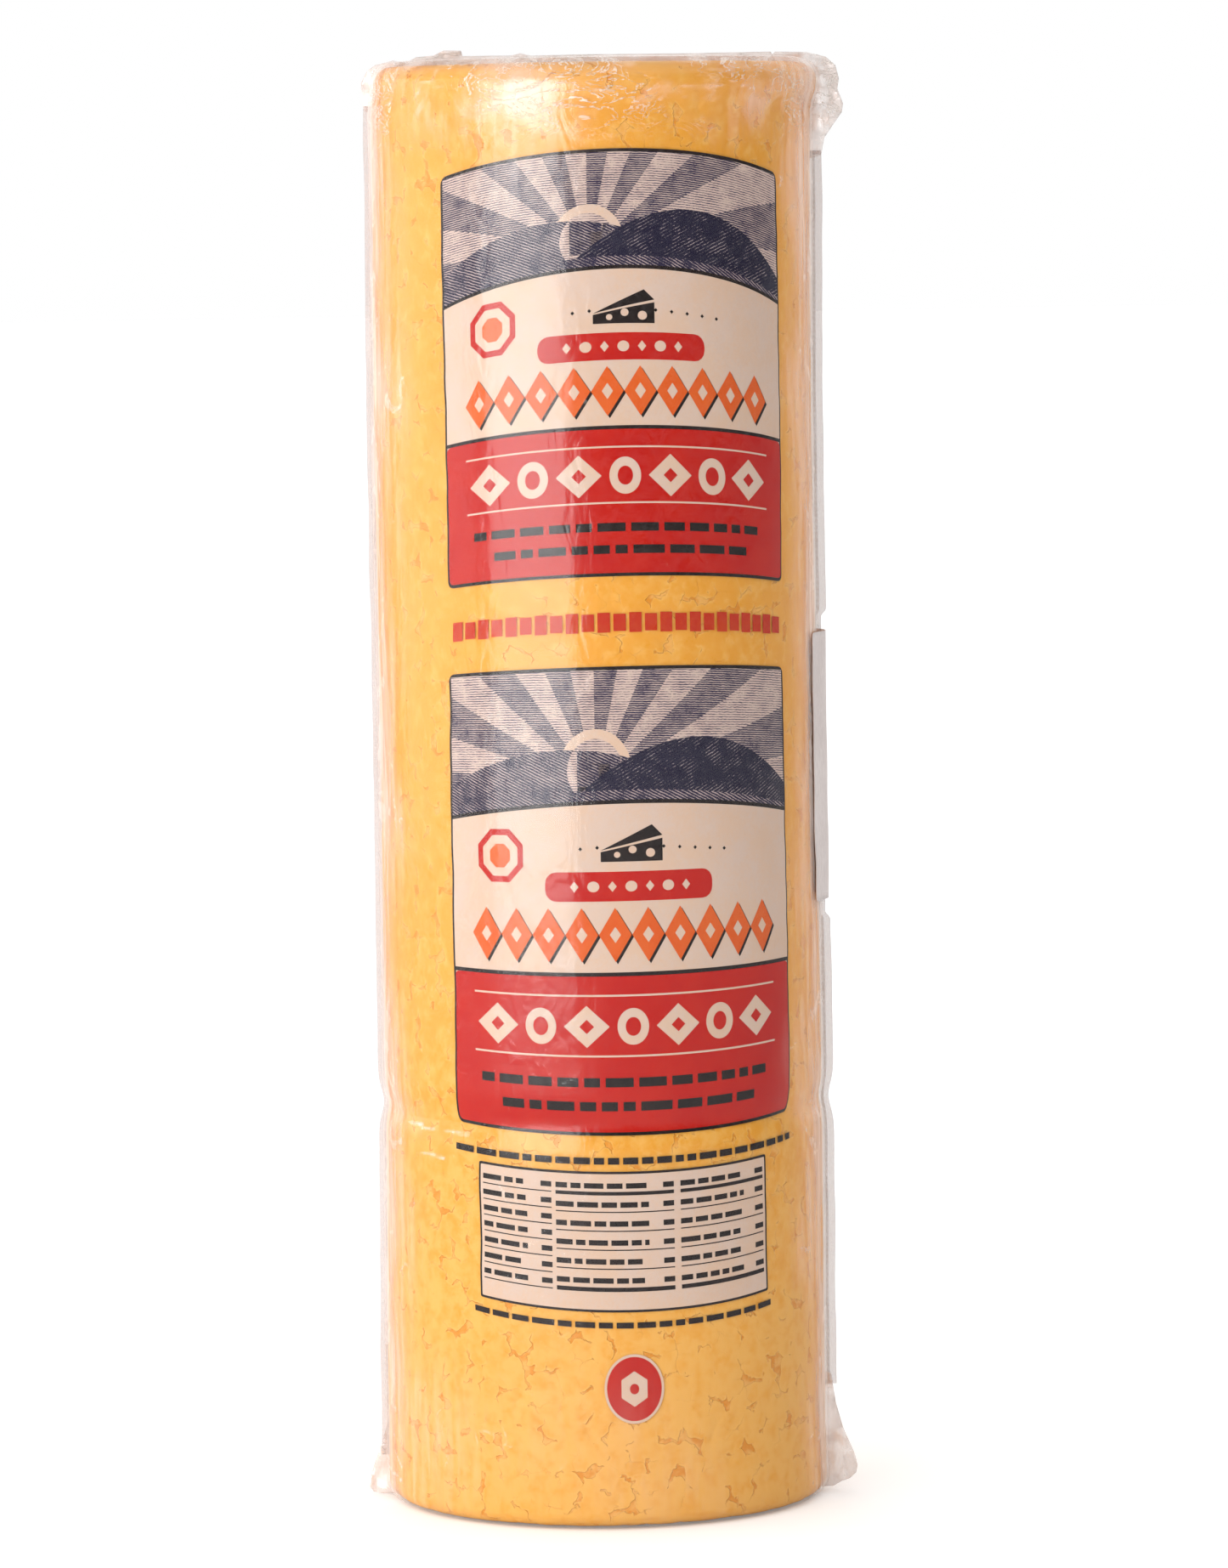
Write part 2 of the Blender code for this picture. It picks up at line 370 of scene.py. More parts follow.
def buildInkWear():
    # ink laid on film is never quite even
    group, given, out = newGroup("inkWear", ["Place"], ["Amount"], ["Mask"])
    place = given["Place"]
    cloud = noiseAt(place, 130.0, detail=4.0, roughness=0.6)
    grain = noiseAt(place, 1500.0, detail=2.0)
    both = plus(times(cloud, 0.6), times(grain, 0.4))
    feed(times(spread(both, 0.36, 0.64), given["Amount"]), out.inputs["Mask"])
    return group


filmHaze = buildFilmHaze()
inkWear = buildInkWear()


# Materials

cheeseLook = {
    "deep": tint(240, 162, 46),
    "usual": tint(243, 167, 57),
    "pale": tint(249, 188, 94),
    "rim": tint(250, 190, 112),
    # the openings' darker orange is painted shade in the hollows; openingPale is the pale skin seen in some
    # of them
    "opening": tint(232, 148, 44),
    "openingPale": tint(243, 178, 90),
    "curdScale": 250.0,
    "openFrom": 0.682,  # distance from a curd's middle, in curds, where openings start
    "slit": 0.05,
    "wobbleScale": 330.0,
    "wobble": 0.0052,  # how far the curds' borders are bent
    "broadScale": 45.0,
    "closeScale": 300.0,
    # below this height the cheese is painted paler, as painted light on its lower part
    "paintedLightBelow": 0.16,  # height
    "rimFrom": 0.336,  # heights between which the pale rim starts
    "rimTo": 0.348,
}


def buildCurdJoints():
    # openings where three curds meet, thin slits where two do, and the pale skin beside them
    group, given, out = newGroup("curdJoints", ["Skin", "Place"], ["Scale", "Open From", "Slit"],
                                 ["Opening", "Beside", "Tone", "Height"])
    place = given["Place"]
    wobble = addNode(group, "TexNoise", Scale=cheeseLook["wobbleScale"], Detail=3.0)
    feed(place, wobble.inputs["Vector"])
    shift = addNode(group, "VectorMath", operation="MULTIPLY_ADD")
    feed(wobble.outputs[1], shift.inputs[0])
    shift.inputs[1].default_value = (cheeseLook["wobble"], cheeseLook["wobble"], 0)
    feed(given["Skin"], shift.inputs[2])
    cells = addNode(group, "TexVoronoi", voronoi_dimensions="2D")
    borders = addNode(group, "TexVoronoi", voronoi_dimensions="2D", feature="DISTANCE_TO_EDGE")
    for made in (cells, borders):
        feedAll(made, {"Vector": shift.outputs[0], "Scale": given["Scale"], "Randomness": 0.8})
    loose = noiseAt(place, 75.0, detail=2.0)
    here = plus(cells.outputs["Distance"], spread(loose, 0.3, 0.7, -0.07, 0.07))
    start = given["Open From"]
    opening = spread(here, start, plus(start, 0.05))
    near = spread(here, minus(start, 0.12), minus(start, 0.01))
    broken = spread(noiseAt(place, 210.0, detail=1.0), 0.50, 0.62)
    slit = times(spread(borders.outputs["Distance"], given["Slit"], 0.0), broken)
    slit = times(slit, spread(here, minus(start, 0.26), start, 0.25))
    both = maths("MAXIMUM", opening, times(slit, 0.34))
    tone = addNode(group, "SeparateColor")
    feed(cells.outputs["Color"], tone.inputs[0])
    whole = minus(1.0, both)
    feedAll(out, {"Opening": both, "Beside": times(near, whole), "Tone": tone.outputs[0], "Height": whole})
    return group


curdJoints = buildCurdJoints()


def cheeseMaterial():
    material, shader, place = newMaterial("cheeseFlesh")
    calm = addNode(shader, "Attribute", attribute_name="curdFade").outputs["Fac"]
    skin = addNode(shader, "UVMap", uv_map="skin").outputs[0]
    joints = useGroup(curdJoints, Skin=skin, Place=place, Scale=cheeseLook["curdScale"],
                      Slit=cheeseLook["slit"])
    joints.inputs["Open From"].default_value = cheeseLook["openFrom"]
    gaps = times(joints.outputs["Opening"], calm)
    broad = noiseAt(place, cheeseLook["broadScale"], detail=2.0)
    close = noiseAt(place, cheeseLook["closeScale"], detail=4.0, roughness=0.6)
    shade = plus(times(joints.outputs["Tone"], 0.25), times(broad, 0.75))
    body = mixColour(spread(shade, 0.28, 0.62), cheeseLook["deep"], cheeseLook["usual"])
    height = splitPlace(place)["Z"]
    # painted light: paler towards the bottom
    low = spread(height, cheeseLook["paintedLightBelow"], 0.0, 0.0, 0.22)
    spots = plus(close, times(joints.outputs["Beside"], 0.2))
    spots = spread(plus(spots, low), 0.44, 0.80, 0.06, 0.85)
    body = mixColour(spots, body, cheeseLook["pale"])
    upper = plus(height, times(broad, 0.012))
    upper = spread(upper, cheeseLook["rimFrom"], cheeseLook["rimTo"], 0.0, 0.6)
    body = mixColour(upper, body, cheeseLook["rim"])
    # inside openings and slits: darker orange as painted shade in the hollows, in patches with their pale
    # skin
    openingShadeAndSkin = spread(close, 0.42, 0.60)
    openingShadeAndSkin = mixColour(openingShadeAndSkin, cheeseLook["opening"], cheeseLook["openingPale"])
    dips = addNode(shader, "Bump", Strength=0.8, Distance=0.3 * mm)
    feedAll(dips, {"Height": joints.outputs["Height"], "Normal": bumpFrom(close, 0.10 * mm, 0.5)})
    feedAll(shader, {
        "Base Color": mixColour(gaps, body, openingShadeAndSkin),
        "Roughness": spread(close, 0.3, 0.7, 0.34, 0.48),
        "Specular IOR Level": 0.15,  # the film has the gloss
        "Normal": dips.outputs[0],
    })
    return material


filmLook = {
    "clearTint": tint(60, 54, 48),  # a wet film darkens a little and shows its gloss
    "milkyTint": tint(246, 226, 214),
    "tornTint": tint(255, 240, 226),
    "looseTint": tint(238, 216, 204),
    "footTint": tint(226, 200, 186),
    "clear": 0.09,  # alpha where the film is wet against the cheese
    "milky": 0.62,  # alpha where it stands off
    "edge": 0.15,  # added where the film is seen edge on
    "looseClear": 0.36,
    "looseMilky": 0.84,
    "looseEdge": 0.2,
}


def filmMaterial(name, clear, milky, edge, milkyTint):
    material, shader, place = newMaterial(name)
    # slack is the film's looseness, and on the main film also the painted highlight at the brow
    slack = addNode(shader, "Attribute", attribute_name="slack").outputs["Fac"]
    haze = useGroup(filmHaze, Place=place, Slack=slack)
    facing = addNode(shader, "LayerWeight", Blend=0.25).outputs["Facing"]
    grazing = maths("POWER", facing, 3.0)
    cover = spread(haze.outputs["Haze"], 0.0, 1.0, clear, milky)
    alpha = maths("MINIMUM", plus(cover, times(grazing, edge)), 1.0)
    # the far wall, seen from within, would look grey through the near one
    inner = addNode(shader, "NewGeometry").outputs["Backfacing"]
    behind = times(inner, addNode(shader, "LightPath").outputs["Is Camera Ray"])
    pale = mixColour(spread(haze.outputs["Haze"], 0.02, 0.35), filmLook["clearTint"], milkyTint)
    pale = mixColour(haze.outputs["Torn"], pale, filmLook["tornTint"])
    feedAll(shader, {
        "Base Color": mixColour(spread(grazing, 0.02, 0.25), pale, milkyTint),
        "Roughness": spread(haze.outputs["Haze"], 0.0, 1.0, 0.17, 0.42),
        "IOR": 3.5,
        "Alpha": times(alpha, spread(behind, 0.0, 1.0, 1.0, 0.15)),
        "Normal": bumpFrom(haze.outputs["Height"], 0.3 * mm),
    })
    return material


def seamMaterial():
    # the weld is a white ladder between two pinkish clear strips: U runs across it, V along it
    material, shader, place = newMaterial("weldedSeam")
    layout = splitPlace(addNode(shader, "UVMap", uv_map="seam").outputs[0])
    share = layout["X"]
    band = times(spread(share, 0.04, 0.12), spread(share, 0.66, 0.54))
    rungs = maths("SINE", times(layout["Y"], 2 * pi))
    rung = spread(rungs, -0.9, 0.9)
    patchy = spread(noiseAt(place, 120.0, detail=3.0), 0.35, 0.65, 0.72, 1.0)
    ladder = mixColour(rung, tint(200, 190, 186), tint(210, 204, 202))
    cover = plus(times(times(band, patchy), 0.36), 0.34)
    cover = times(cover, spread(share, 0.25, 0.62, 0.4, 1.0))
    feedAll(shader, {
        "Base Color": mixColour(band, tint(210, 192, 186), ladder),
        "Roughness": 0.3,
        "Alpha": cover,
        "Normal": bumpFrom(rungs, 0.12 * mm),
    })
    return material


def inkMaterial(name, colour, worn, amount):
    material, shader, place = newMaterial(name)
    wear = useGroup(inkWear, Place=place, Amount=amount).outputs["Mask"]
    feedAll(shader, {
        "Base Color": mixColour(wear, colour, worn),
        "Roughness": spread(wear, 0.0, 1.0, 0.34, 0.48),
        "Specular IOR Level": 0.1,
        "Normal": bumpFrom(noiseAt(place, 420.0), 0.05 * mm),
    })
    return material


def engravedMaterial(name, ink, ground, turn, pitch, fullness):
    # broken parallel strokes, as on an old engraving, laid out on the print's own flat layout
    material, shader, _ = newMaterial(name)
    flat = addNode(shader, "UVMap", uv_map="layout").outputs[0]
    turned = addNode(shader, "Mapping", Rotation=(0, 0, turn))
    feed(flat, turned.inputs["Vector"])
    lines = addNode(shader, "TexWave", Scale=0.314 / pitch, Distortion=2.2, Detail=3.0,
                    bands_direction="Y")
    lines.inputs["Detail Scale"].default_value = 1.6
    feed(turned.outputs[0], lines.inputs["Vector"])
    cloud = noiseAt(flat, 0.22, detail=5.0, roughness=0.7)
    speck = noiseAt(flat, 2.6, detail=2.0)
    amount = plus(times(lines.outputs[1], 0.45), times(cloud, 0.7))
    amount = plus(amount, times(speck, 0.35))
    inked = spread(amount, 1.02 - fullness, 1.16 - fullness)
    feedAll(shader, {
        "Base Color": mixColour(inked, ground, ink),
        "Roughness": spread(inked, 0.0, 1.0, 0.55, 0.42),
        "Specular IOR Level": 0.1,
        "Normal": bumpFrom(speck, 0.03 * mm),
    })
    return material


def paperMaterial():
    material, shader, place = newMaterial("stickerPaper")
    fibre = noiseAt(stretched(place, (1.0, 1.0, 0.4)), 1400.0, detail=3.0)
    cloud = noiseAt(place, 60.0)
    both = plus(times(fibre, 0.5), times(cloud, 0.5))
    feedAll(shader, {
        # greyer than white paper: partly the paper's own off-white, partly painted shade on this dim side
        "Base Color": mixColour(spread(both, 0.35, 0.65), tint(216, 203, 199), tint(232, 221, 217)),
        "Roughness": spread(fibre, 0.3, 0.7, 0.5, 0.68),
        "Normal": bumpFrom(fibre, 0.04 * mm),
    })
    return material


def floorMaterial():
    material, shader, place = newMaterial("paleFloor")
    speck = noiseAt(place, 40.0, detail=2.0)
    white = mixColour(speck, tint(248, 248, 248), tint(252, 252, 252))
    # white to look at, but it throws little light back up at the pack
    seen = addNode(shader, "LightPath").outputs["Is Camera Ray"]
    feedAll(shader, {
        "Base Color": mixColour(seen, tint(238, 238, 238), white),
        "Emission Color": mixColour(seen, tint(0, 0, 0), tint(120, 120, 120)),
        "Emission Strength": 1.0,
        "Roughness": 0.8,
        "Specular IOR Level": 0.1,
    })
    return material


inks = {
    "black": inkMaterial("blackInk", tint(26, 18, 18), tint(46, 32, 30), 0.6),
    "cream": inkMaterial("creamInk", tint(223, 196, 179), tint(228, 188, 154), 0.55),
    "red": inkMaterial("redInk", tint(192, 16, 8), tint(202, 36, 18), 0.7),
    "orange": inkMaterial("orangeInk", tint(226, 92, 26), tint(232, 110, 46), 0.6),
    "webRed": inkMaterial("plainRedInk", tint(196, 40, 12), tint(208, 72, 26), 0.8),
    "sky": engravedMaterial("slateSky", tint(80, 68, 88), tint(218, 192, 180), 0.02, 0.55, 0.22),
    "ray": engravedMaterial("slateRays", tint(56, 48, 74), tint(202, 180, 170), 0.03, 0.5, 0.44),
    "field": engravedMaterial("slateField", tint(44, 38, 64), tint(190, 170, 166), 0.45, 0.6, 0.50),
    "fieldDark": engravedMaterial("slateFurrow", tint(34, 30, 54), tint(176, 160, 160), -0.5, 0.7, 0.60),
}
inkOrder = list(inks)
print("materials made")


# The cheese: rounded curds pressed together, with openings left where they don't quite meet

curds = {
    "radius": 50.95 * mm,
    "bottom": 0.6 * mm,
    "top": 340 * mm,
    "lowEdge": 3.2 * mm,
    "highEdge": 4.2 * mm,
    "tentShare": 0.85,  # of the room that the film's tent at a seam leaves
    "faceSize": 2.5 * mm,
    "finerWithin": (0.85 * mm, 0.3 * mm),
    "across": 5.2 * mm,
    "jitter": 1.7 * mm,
    "smallest": 2.2 * mm,
    "largest": 3.4 * mm,
    "warp": 1.5 * mm,
    "warpScale": 3.6 * mm,
    "looseScale": 15 * mm,
    "tightest": 1.6 * mm,
    "loosest": 0.55 * mm,
    "openingDepth": 0.3 * mm,
    "openingSlope": 0.8 * mm,
    "slitWidth": 0.28 * mm,
    "slitDepth": 0.08 * mm,
    "pillow": 0.12 * mm,
    "seed": 11,
}


def curdSeeds():
    # middles and sizes of the curds that show, all over the round, the top and the base
    draw = random.Random(curds["seed"])
    places = []
    step = curds["across"]
    rows = round(curds["top"] / (step * 0.87))
    columns = round(2 * pi * curds["radius"] / step)
    for row in range(rows + 1):
        for column in range(columns):
            angle = 2 * pi * (column + 0.5 * (row % 2)) / columns
            places.append(roundPoint(angle, curds["radius"], curds["top"] * row / rows))
    reach = round(curds["radius"] / step)
    for height in (curds["bottom"], curds["top"]):
        for row in range(-reach - 1, reach + 2):
            for column in range(-reach - 1, reach + 2):
                spot = Vector(((column + 0.5 * (row % 2)) * step, row * step * 0.87, height))
                if hypot(spot.x, spot.y) < curds["radius"] - step * 0.6:
                    places.append(spot)
    curdList = []
    for spot in places:
        nudge = Vector([draw.uniform(-1, 1) for _ in range(3)]) * curds["jitter"]
        size = curds["smallest"] + (curds["largest"] - curds["smallest"]) * draw.random() ** 0.8
        curdList.append((spot + nudge, size))
    return curdList


curdList = curdSeeds()
curdTree = kdtree.KDTree(len(curdList))
for index, (spot, size) in enumerate(curdList):
    curdTree.insert(spot, index)
curdTree.balance()


def curdAt(point):
    # opening is above 0 between curds; slit is the distance to the line where two curds meet
    bent = point + noise_vector(point / curds["warpScale"]) * curds["warp"]
    found = sorted(distance - curdList[index][1] for spot, index, distance in curdTree.find_n(bent, 5))
    loose = 0.5 + 0.5 * noise(point / curds["looseScale"] + Vector((7, 3, 1)))
    tight = curds["tightest"] + (curds["loosest"] - curds["tightest"]) * easeBetween(0.15, 0.95, loose)
    return found[0] - tight, found[1] - found[0]


def openingAt(point):
    return curdAt(point)[0]


def layOutSkin(bm):
    # a flat map of the skin for the curd pattern; it fades out where the map is cut
    skin = bm.loops.layers.uv.new("skin")
    kinds = {}
    for face in bm.faces:
        onCap = abs(face.normal.z) > 0.75
        middle = angleOf(face.calc_center_median())
        for loop in face.loops:
            spot = loop.vert.co
            if onCap:
                loop[skin].uv = (1 + spot.x, spot.y + (1 if spot.z > 0.1 else 2))
            else:
                turn = (angleOf(spot) - middle + pi) % (2 * pi) - pi + middle
                loop[skin].uv = (turn * curds["radius"], spot.z)
            kinds.setdefault(loop.vert, set()).add(onCap)
    fades = []
    for vert in bm.verts:
        back = angleBetween(angleOf(vert.co), pi) * hypot(vert.co.x, vert.co.y)
        cut = len(kinds[vert]) > 1 or (back < 0.1 * mm and not kinds[vert] == {True})
        fades.append(0.0 if cut else 1.0)
    return fades


def buildCheese():
    profile = canProfile(curds["radius"], curds["bottom"], curds["top"], curds["lowEdge"], curds["highEdge"],
                         pack["topCrown"], curds["faceSize"])
    steps = round(2 * pi * curds["radius"] / curds["faceSize"])
    bm = spinCan(profile, steps)
    refineWhere(bm, openingAt, curds["finerWithin"])
    bm.normal_update()
    fades = layOutSkin(bm)
    places = []
    for vert in bm.verts:
        opening, slit = curdAt(vert.co)
        angle = angleOf(vert.co)
        gap = easeBetween(-0.05 * mm, curds["openingSlope"], opening)
        crack = easeBetween(curds["slitWidth"], 0.0, slit) * easeBetween(-0.9 * mm, -0.2 * mm, opening)
        depth = curds["openingDepth"] * gap + curds["slitDepth"] * crack * (1 - gap)
        depth += curds["pillow"] * easeBetween(-1.6 * mm, 0.0, opening)
        share = min(1.0, hypot(vert.co.x, vert.co.y) / curds["radius"])
        out = (bodySwell(angle, vert.co.z) + curds["tentShare"] * seamTent(angle)) * share**6
        flat = roundPoint(angle, 1, 0)
        places.append(vert.co + flat * out - vert.normal * depth)
    for vert, place in zip(bm.verts, places):
        vert.co = place
    piece = finishPiece(bm, "cheese_block", [cheeseMaterial()])
    storeValues(piece, "curdFade", fades)
    wrapped(piece)
    print("cheese made:", len(piece.data.polygons), "faces")


buildCheese()


# The clear film: one tight skin, with creases and slack places

film = {
    "faceSize": 2.6 * mm,
    "finerWithin": (2.2 * mm, 1.1 * mm),
    "sag": 0.16 * mm,
    "topGather": 0.25 * mm,
    "creaseHeight": 0.12 * mm,
    "creaseWidth": 0.42 * mm,
    "streakHeight": 0.16 * mm,
    "streakReach": radians(13),
    "seed": 5,
}

# How slack the film is, from 0 to 1, in each place, and how far that place reaches; at the brow the milky
# haze is a painted highlight
slackAndHighlightPlaces = {
    "seam": 0.85,
    "seamReach": radians(21),
    "weldClear": 0.8,  # pulled clear over the weld itself
    "weldReach": radians(5),
    "rim": 0.32,
    "rimRight": 0.12,
    "rimHeights": (312 * mm, 326 * mm),
    "foot": 0.18,
    "footLeft": 0.07,
    "footHeights": (70 * mm, 4 * mm),
    "shoulder": 0.58,
    "shoulderAngle": radians(74),
    "shoulderReach": radians(20),
    "shoulderHeights": (322 * mm, 333 * mm),
    # the brow: milky haze where the key light's reflection falls near the top, a painted highlight that also
    # roughens the film there
    "brow": 0.2,
    "browAngle": radians(-18),
    "browReach": radians(19),
    "browHeights": (285 * mm, 320 * mm),
    "waist": 0.25,
    "waistReach": 8 * mm,
}

# Creases as (angle, height) in degrees and millimetres from start to end, and how strong
creases = [
    ((-88, 95.5), (-62, 93.0), 1.0),
    ((-62, 93.0), (-38, 91.8), 0.8),
    ((-86, 94.5), (-72, 88.5), 0.8),
    ((-72, 88.5), (-46, 85.5), 0.6),
    ((88, 97.0), (70, 95.0), 0.8),
    ((86, 95.0), (72, 90.0), 0.6),
    ((86, 26.0), (62, 14.0), 0.9),
    ((84, 15.0), (66, 7.0), 0.8),
    ((-87, 18.0), (-70, 10.0), 0.8),
    ((-86, 9.0), (-60, 4.0), 0.9),
    ((-84, 318.0), (-70, 322.0), 0.7),
    ((84, 322.0), (66, 329.0), 0.9),
    ((86, 312.0), (74, 304.0), 0.6),
    ((94, 97.0), (120, 93.0), 0.9),
    ((-94, 95.0), (-118, 98.0), 0.8),
    ((96, 18.0), (116, 9.0), 0.8),
    ((-96, 24.0), (-115, 12.0), 0.8),
    ((96, 320.0), (112, 328.0), 0.8),
    ((-95, 322.0), (-112, 330.0), 0.8),
]


def rimCreases():
    # a wavering pale line under the rim, all the way round, and short scars above it
    draw = random.Random(film["seed"])
    made = []
    angle = -180.0
    height = 333.0
    while angle < 178:
        nextAngle = angle + draw.uniform(5, 11)
        nextHeight = min(335.0, max(331.5, height + draw.uniform(-1.0, 1.0)))
        made.append(((angle, height), (nextAngle, nextHeight), draw.uniform(0.05, 0.5)))
        angle = nextAngle
        height = nextHeight
    for scar in range(60):
        angle = draw.uniform(-180, 180)
        height = draw.uniform(329.0, 339.0)
        far = (angle + draw.uniform(3, 9), height + draw.uniform(-1.6, 1.6))
        made.append(((angle, height), far, draw.uniform(0.1, 0.45)))
    return made


creases += rimCreases()
creaseRuns = []
for (startAngle, startHeight), (endAngle, endHeight), strength in creases:
    start = Vector((radians(startAngle) * pack["filmRadius"], startHeight * mm))
    end = Vector((radians(endAngle) * pack["filmRadius"], endHeight * mm))
    creaseRuns.append((start, end - start, strength))


def creaseAt(point):
    # nearness to the closest crease, weighted by its strength: 1 on its line, and the distance to it
    spot = Vector((angleOf(point) * pack["filmRadius"], point.z))
    spot += Vector((noise(point * 160), noise(point * 160 + Vector((4, 4, 4))))) * 0.9 * mm
    broken = easeBetween(-0.35, 0.35, noise(point * 190 + Vector((1, 8, 2))))
    nearest = 1.0
    best = 0.0
    for start, run, strength in creaseRuns:
        if abs(start.y + run.y / 2 - spot.y) > abs(run.y / 2) + 3 * mm:
            continue
        share = min(1.0, max(0.0, (spot - start).dot(run) / run.length_squared))
        distance = (start + run * share - spot).length
        nearest = min(nearest, distance)
        best = max(best, strength * broken * bell(distance, film["creaseWidth"]))
    return best, nearest


def slackAndHighlightAt(point):
    # 0 where the film is drawn tight, 1 where it is loose: by the seams, the rim and the foot; the brow term
    # is milky haze laid where the key light's reflection falls, a painted highlight
    angle = angleOf(point)
    reach = fromSeam(angle)
    drift = noise(Vector((angle * 2.4, 7, point.z * 34)))
    seam = slackAndHighlightPlaces["seam"] * bell(reach, slackAndHighlightPlaces["seamReach"] * (1.04 + 0.45 * drift))
    seam *= 1 - slackAndHighlightPlaces["weldClear"] * bell(reach, slackAndHighlightPlaces["weldReach"])
    rim = slackAndHighlightPlaces["rim"] + slackAndHighlightPlaces["rimRight"] * max(0.0, sin(angle))
    rim *= easeBetween(*slackAndHighlightPlaces["rimHeights"], point.z) * (0.6 + noise(point * 38 + Vector((9, 2, 5))))
    foot = slackAndHighlightPlaces["foot"] - slackAndHighlightPlaces["footLeft"] * sin(angle)
    foot *= easeBetween(*slackAndHighlightPlaces["footHeights"], point.z) * (0.7 + noise(point * 24 + Vector((3, 1, 2))))
    shoulder = bell(angleBetween(angle, slackAndHighlightPlaces["shoulderAngle"]), slackAndHighlightPlaces["shoulderReach"])
    shoulder *= slackAndHighlightPlaces["shoulder"] * easeBetween(*slackAndHighlightPlaces["shoulderHeights"], point.z)
    # painted highlight: milky haze where the key light's reflection falls near the top
    brow = slackAndHighlightPlaces["brow"] * bell(angle - slackAndHighlightPlaces["browAngle"], slackAndHighlightPlaces["browReach"])
    brow *= easeBetween(*slackAndHighlightPlaces["browHeights"], point.z)
    waist = slackAndHighlightPlaces["waist"] * bell(point.z - pack["waistHeight"], slackAndHighlightPlaces["waistReach"])
    waist *= easeBetween(0.6, 1.3, abs(angle))
    return min(1.0, max(seam, rim, foot, shoulder, brow, waist) * (1 + 0.3 * noise(point * 55)))


def filmOut(point, angle):
    # what the film adds to the body's own swelling
    tent = seamTent(angle)
    streaks = noise(Vector((angle * 46, 3, point.z * 9))) * bell(fromSeam(angle), film["streakReach"])
    opening = openingAt(roundPoint(angle, curds["radius"], point.z))
    sag = film["sag"] * easeBetween(-0.5 * mm, 0.9 * mm, opening)
    return tent + film["streakHeight"] * streaks - sag


def buildFilm():
    profile = canProfile(pack["filmRadius"], 0.0, pack["topHeight"], pack["baseEdge"], pack["topEdge"],
                         pack["topCrown"], film["faceSize"])
    bm = spinCan(profile, round(2 * pi * pack["filmRadius"] / film["faceSize"]))
    refineWhere(bm, lambda point: -creaseAt(point)[1], film["finerWithin"])
    bm.normal_update()
    slacks = []
    places = []
    for vert in bm.verts:
        angle = angleOf(vert.co)
        share = min(1.0, hypot(vert.co.x, vert.co.y) / pack["filmRadius"])
        onSide = share**6
        crease = creaseAt(vert.co)[0] * onSide
        out = bodySwell(angle, vert.co.z) * onSide + filmOut(vert.co, angle) * onSide
        flat = roundPoint(angle, 1, 0)
        place = vert.co + flat * out + vert.normal * film["creaseHeight"] * crease
        if share < 0.9 and vert.co.z > 0.2:  # soft gathers across the top, kept above the cheese
            place.z += film["topGather"] * noise(Vector((vert.co.x * 60, vert.co.y * 190, 1)))
        places.append(place)
        # these values carry the film's looseness and, at the brow, the painted highlight
        slacks.append(max(slackAndHighlightAt(vert.co), crease))
    for vert, place in zip(bm.verts, places):
        vert.co = place
    look = filmMaterial("clearFilm", filmLook["clear"], filmLook["milky"], filmLook["edge"],
                        filmLook["milkyTint"])
    piece = finishPiece(bm, "clear_film", [look])
    storeValues(piece, "slack", slacks)
    wrapped(piece)
    print("film made:", len(piece.data.polygons), "faces")


buildFilm()


# The welded edges down both sides

seams = {
    "inner": 50.2 * mm,
    "leftReach": 53.5 * mm,
    "rightReach": 54.5 * mm,
    "coveredReach": 53.3 * mm,
    "coveredFrom": 139.0 * mm,
    "coveredTo": 209.0 * mm,
    "leftEnds": (10 * mm, 331 * mm),
    "rightEnds": (25.5 * mm, 319 * mm),
    "rungPitch": 1.45 * mm,
    "rungHeight": 0.16 * mm,
    "wander": 0.35 * mm,
    "thickness": 0.22 * mm,
    "pinch": 1.2 * mm,
    "pinchReach": 4 * mm,
}


def seamReach(side, height):
    reach = seams["leftReach"] if side < 0 else seams["rightReach"]
    if side > 0:
        covered = easeBetween(seams["coveredFrom"] - 2 * mm, seams["coveredFrom"], height)
        covered *= easeBetween(seams["coveredTo"] + 2 * mm, seams["coveredTo"], height)
        reach += (seams["coveredReach"] - reach) * covered
    reach += unevenness(side * quarterTurn, height)
    reach -= seams["pinch"] * bell(height - pack["waistHeight"], seams["pinchReach"])
    return reach + 0.25 * mm * noise(Vector((side * 3, 0, height * 70)))


def buildSeam(name, side, look):
    low, high = seams["leftEnds"] if side < 0 else seams["rightEnds"]
    rows = round((high - low) / (seams["rungPitch"] / 4))
    bm = bmesh.new()
    bmesh.ops.create_grid(bm, x_segments=7, y_segments=rows, size=0.5)
    layout = bm.loops.layers.uv.new("seam")
    for face in bm.faces:
        for loop in face.loops:
            height = low + (loop.vert.co.y + 0.5) * (high - low)
            loop[layout].uv = (loop.vert.co.x + 0.5, height / seams["rungPitch"])
    for vert in bm.verts:
        share = vert.co.x + 0.5
        height = low + (vert.co.y + 0.5) * (high - low)
        inner = seams["inner"] + unevenness(side * quarterTurn, height)
        reach = inner + (seamReach(side, height) - inner) * share
        rung = sin(2 * pi * height / seams["rungPitch"]) * easeBetween(0.1, 0.3, share)
        wave = noise(Vector((share * 0.8, side * 5, height * 60))) * seams["wander"] * (0.3 + share)
        vert.co = (side * reach, seams["rungHeight"] * rung + wave, height)
    bmesh.ops.recalc_face_normals(bm, faces=bm.faces[:])
    piece = finishPiece(bm, name, [look])
    thicken(piece, seams["thickness"])
    wrapped(piece)


seamLook = seamMaterial()
buildSeam("left_seam", -1, seamLook)
buildSeam("right_seam", 1, seamLook)


# Loose corners and the sealed ridge: crumpled film, x and z in millimetres seen from the front

looseFilm = {
    "foldHeight": 1.04 * mm,
    "foldSize": 6.5,
    "cell": 0.8,
    "thickness": 0.14 * mm,
}

